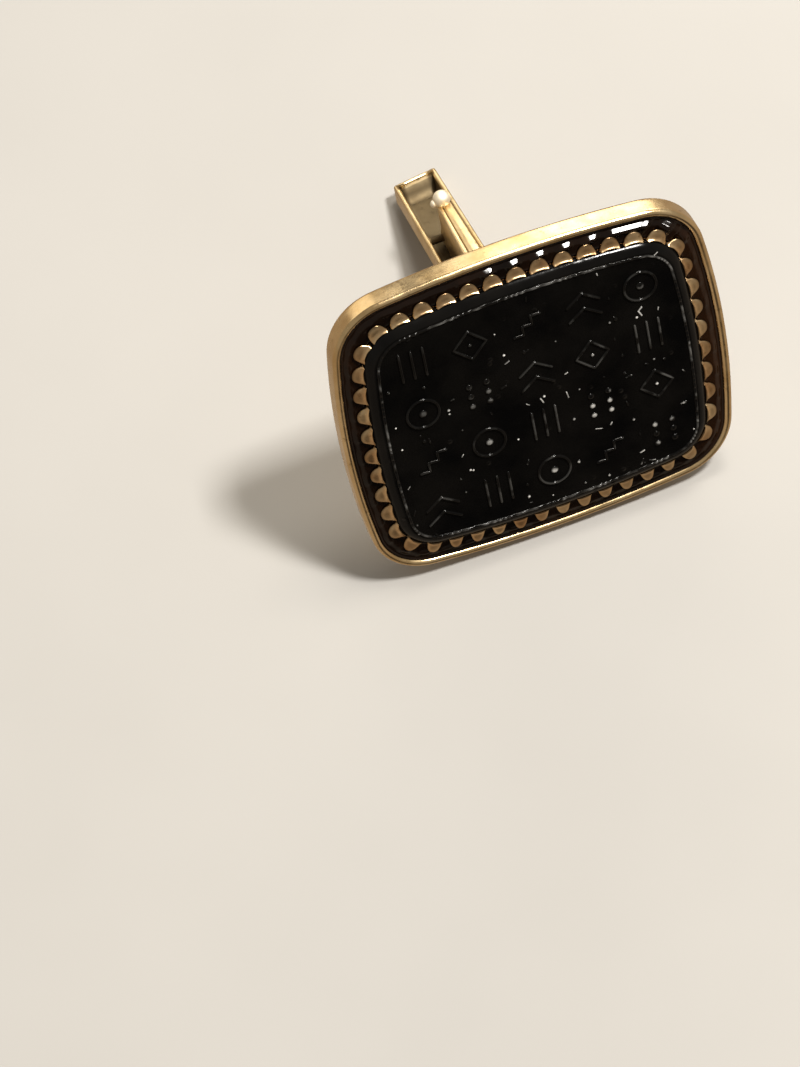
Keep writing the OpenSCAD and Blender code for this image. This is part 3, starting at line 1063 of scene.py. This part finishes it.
def toggle_shape():
    """A shallow trough: its wall's profile swept along the plan, its floor and near end filled."""
    taper = (TOGGLE_NEAR_W - TOGGLE_FAR_W) / TOGGLE_LEN / 2
    far = -TOGGLE_LEN / 2
    near = TOGGLE_LEN / 2
    corner = TOGGLE_CORNER_R
    turn = math.atan(taper)

    def half_w(z):
        return PIVOT_W / 2 + taper * z

    def bent(x, v, z):
        """The trough is a little out of true: its left wall flares, and its far end is askew."""
        left = min(1.0, max(0.0, 0.5 - x / TOGGLE_FAR_W))
        askew = TOGGLE_SKEW * left * (1 - smooth(far + 0.2, far + 2.6, z))
        flare = TOGGLE_FLARE * left * (near - z) / TOGGLE_LEN
        return (CENTRE_OFF + x - flare, PIVOT_UP + v, z + askew - PIVOT_BACK)

    # The plan's outline from the near end round the far end and back, with its outward normals
    plan = []
    for k in range(TOGGLE_STEPS):
        z = mixed(near, far + corner, k / TOGGLE_STEPS)
        plan.append((-half_w(z), z, -math.cos(turn), -math.sin(turn)))
    centre = (corner - half_w(far + corner), far + corner)
    for k in range(9):
        a = math.radians(180 + 90 * k / 8)
        nx = math.cos(a)
        nz = math.sin(a)
        plan.append((centre[0] + corner * nx, centre[1] + corner * nz, nx, nz))
    left_side = list(plan)
    for k in range(1, 4):
        plan.append((mixed(centre[0], -centre[0], k / 4), far, 0.0, -1.0))
    plan += [(-x, z, -nx, nz) for x, z, nx, nz in reversed(left_side)]
    low_r = TOGGLE_LOW_R
    top_r = TOGGLE_WALL / 2
    fillet = TOGGLE_FILLET
    under = [(-low_r - 0.25, TOGGLE_Y), (-low_r - 0.1, TOGGLE_Y)]
    under += round_corner((-low_r, TOGGLE_Y + low_r), low_r, -90, 0, 6)
    wall = [(0.0, TOGGLE_Y + 0.5), (0.0, TOGGLE_TOP - top_r - 0.15)]
    wall += round_corner((-top_r, TOGGLE_TOP - top_r), top_r, 0, 180, 10)
    inside = [(-TOGGLE_WALL, TOGGLE_TOP - top_r - 0.15), (-TOGGLE_WALL, FLOOR_Y + fillet + 0.1)]
    inside += round_corner((-TOGGLE_WALL - fillet, FLOOR_Y + fillet), fillet, 0, -90, 5)
    inside += [(-TOGGLE_WALL - fillet - 0.06, FLOOR_Y)]
    # Each part of the profile with its slope at the far end and how dark it is painted: painted shade,
    # partly tarnish
    parts = [
        (under, 0.0, UNDER_SHADE),
        (wall, 0.0, 0.0),
        (inside, TOGGLE_FAR_SLOPE, TROUGH_SHADE_AND_TARNISH),
    ]
    shape = Shape()
    rings = []
    for profile, slope, deep in parts:
        for off, v in profile:
            points = []
            shade = []
            for x, z, nx, nz in plan:
                by = off - slope * max(0.0, -nz) ** 2 * (TOGGLE_TOP - v)
                points.append(bent(x + nx * off, v, z + nz * by))
                # Painted shade: darker still towards the trough's near end
                shade.append(deep + TROUGH_NEAR_SHADE * deep * smooth(-1.0, 5.0, z))
            rings.append(shape.ring(points, shade))
    shape.skin(rings, False)
    shape.cap(rings[0])
    shape.cap(rings[-1])
    shape.cap([r[0] for r in rings] + [r[-1] for r in reversed(rings)])
    return shape


def pin_shape():
    """The pin, with slightly domed ends that lie flush in the toggle's walls."""
    shape = Shape()
    half = PIVOT_W / 2
    profile = [(PIN_END_R, -half), (PIN_R - 0.04, -half + 0.01), (PIN_R, -half + 0.05)]
    profile += [(PIN_R, -half + 0.3), (PIN_R, 0.0)]
    profile += [(r, -x) for r, x in reversed(profile[:-1])]
    turns = [2 * math.pi * k / PIN_SIDES for k in range(PIN_SIDES)]
    rings = []
    for r, x in profile:
        points = [(CENTRE_OFF + x, PIVOT_UP + r * math.cos(a), r * math.sin(a) - PIVOT_BACK) for a in turns]
        # The pin's middle, inside the trough, is painted dark like the trough's floor: painted shade
        rings.append(shape.ring(points, 1 - smooth(half - 0.3, half - 0.06, abs(x))))
    shape.skin(rings)
    shape.cap(rings[0])
    shape.cap(rings[-1])
    return shape


piece("toggle_trough", toggle_shape(), "toggle_bar", toggle_gold, ("toggle",))
piece("toggle_pin", pin_shape(), "toggle_bar", pin_gold, ("pivot_pin",))

# Floor, lights and camera

# The floor is left out of what the gold mirrors: there the darker ground of the room shows
FLOOR_HALF = 3.0
FLOOR_PALE = (0.425, 0.414, 0.397)
FLOOR_DULL = (0.38, 0.369, 0.352)
floor_corners = [(-1, -1), (1, -1), (1, 1), (-1, 1)]
floor_mesh = bpy.data.meshes.new("floor")
floor_mesh.from_pydata([(x * FLOOR_HALF, y * FLOOR_HALF, 0) for x, y in floor_corners], [], [(0, 1, 2, 3)])
floor = bpy.data.objects.new("floor", floor_mesh)
bpy.context.scene.collection.objects.link(floor)
floor_look = Nodes("floor_paint")
floor_colour = floor_look.mix(floor_look.noise(40.0), FLOOR_DULL, FLOOR_PALE)
floor_look.link(floor_colour, floor_look.shader.inputs["Base Color"])
floor_look.set("Roughness", 0.75)
floor_look.set("Specular IOR Level", 0.2)
floor_mesh.materials.append(floor_look.material)
floor.visible_glossy = False

LAMPS_AIM = Vector((0.0, 0.0, 0.010))


def lamp(name, where, size, power, colour):
    light = bpy.data.lights.new(name, "AREA")
    light.shape = "RECTANGLE"
    light.size = size[0]
    light.size_y = size[1]
    light.energy = power
    light.color = colour
    ob = bpy.data.objects.new(name, light)
    ob.location = where
    ob.rotation_euler = (LAMPS_AIM - Vector(where)).to_track_quat("-Z", "Y").to_euler()
    bpy.context.scene.collection.objects.link(ob)


lamp("main", where=(0.12, 0.16, 0.50), size=(0.14, 0.14), power=1.4, colour=(1.0, 0.93, 0.82))
lamp("back_card", where=(0.195, 0.44, 0.16), size=(0.28, 0.20), power=0.66, colour=(1.0, 0.95, 0.83))
lamp("back_soft", where=(-0.16, 0.46, 0.14), size=(0.30, 0.20), power=0.22, colour=(1.0, 0.92, 0.80))
lamp("high", where=(0.155, -0.02, 0.40), size=(0.06, 0.06), power=2.4, colour=(1.0, 0.97, 0.92))

# The room that the gold and the glass mirror: a ceiling, a floor, and a dark patch in front, which
# lies where the plaque's flat top mirrors it
CEILING = (0.32, 0.29, 0.25)
GROUND = (0.40, 0.32, 0.24)
DARK = (0.06, 0.048, 0.036)
DARK_AT = Vector((0.13, -0.95, -0.28)).normalized()
HORIZON = (-0.1, 0.2)
DARK_FADE = (0.89, 0.985)
world = bpy.data.worlds.new("studio")
world.use_nodes = True
sky = world.node_tree
direction = sky.nodes.new("ShaderNodeTexCoord").outputs["Generated"]


def sky_step(value, low, high):
    node = sky.nodes.new("ShaderNodeMapRange")
    node.interpolation_type = "SMOOTHSTEP"
    node.inputs["From Min"].default_value = low
    node.inputs["From Max"].default_value = high
    sky.links.new(value, node.inputs["Value"])
    return node.outputs["Result"]


def sky_mix(share, a, b):
    node = sky.nodes.new("ShaderNodeMix")
    node.data_type = "RGBA"
    sky.links.new(share, node.inputs["Factor"])
    for socket, value in zip((node.inputs[6], node.inputs[7]), (a, b)):
        if isinstance(value, tuple):
            socket.default_value = (*value, 1.0)
        else:
            sky.links.new(value, socket)
    return node.outputs[2]


split = sky.nodes.new("ShaderNodeSeparateXYZ")
sky.links.new(direction, split.inputs["Vector"])
facing = sky.nodes.new("ShaderNodeVectorMath")
facing.operation = "DOT_PRODUCT"
facing.inputs[1].default_value = DARK_AT
sky.links.new(direction, facing.inputs[0])
shades = sky_mix(sky_step(split.outputs["Z"], *HORIZON), GROUND, CEILING)
shades = sky_mix(sky_step(facing.outputs["Value"], *DARK_FADE), shades, DARK)
sky.links.new(shades, sky.nodes["Background"].inputs["Color"])
bpy.context.scene.world = world
bpy.context.scene.view_settings.view_transform = "Standard"

# The camera looks at a point beside the cufflink, which puts it where the photograph has it
VIEW_POINT = Vector((-11.137, -14.129, 10.0)) * MM
VIEW_DISTANCE = 303.308 * MM
VIEW_AZIMUTH = math.radians(18.919)
VIEW_ELEVATION = math.radians(65.484)
VIEW_ROLL = math.radians(2.176)
LENS = 168.697
SENSOR = 36.0
camera_data = bpy.data.cameras.new("camera")
camera_data.lens = LENS
camera_data.sensor_fit = "VERTICAL"
camera_data.sensor_height = SENSOR
camera_data.clip_start = 0.01
camera_data.clip_end = 10.0
camera = bpy.data.objects.new("camera", camera_data)
bpy.context.scene.collection.objects.link(camera)
turned = Matrix.Rotation(-VIEW_AZIMUTH, 4, "Z") @ Matrix.Rotation(math.pi / 2 - VIEW_ELEVATION, 4, "X")
turned = turned @ Matrix.Rotation(-VIEW_ROLL, 4, "Z")
camera.matrix_world = Matrix.Translation(VIEW_POINT) @ turned @ Matrix.Translation((0, 0, VIEW_DISTANCE))
bpy.context.scene.camera = camera
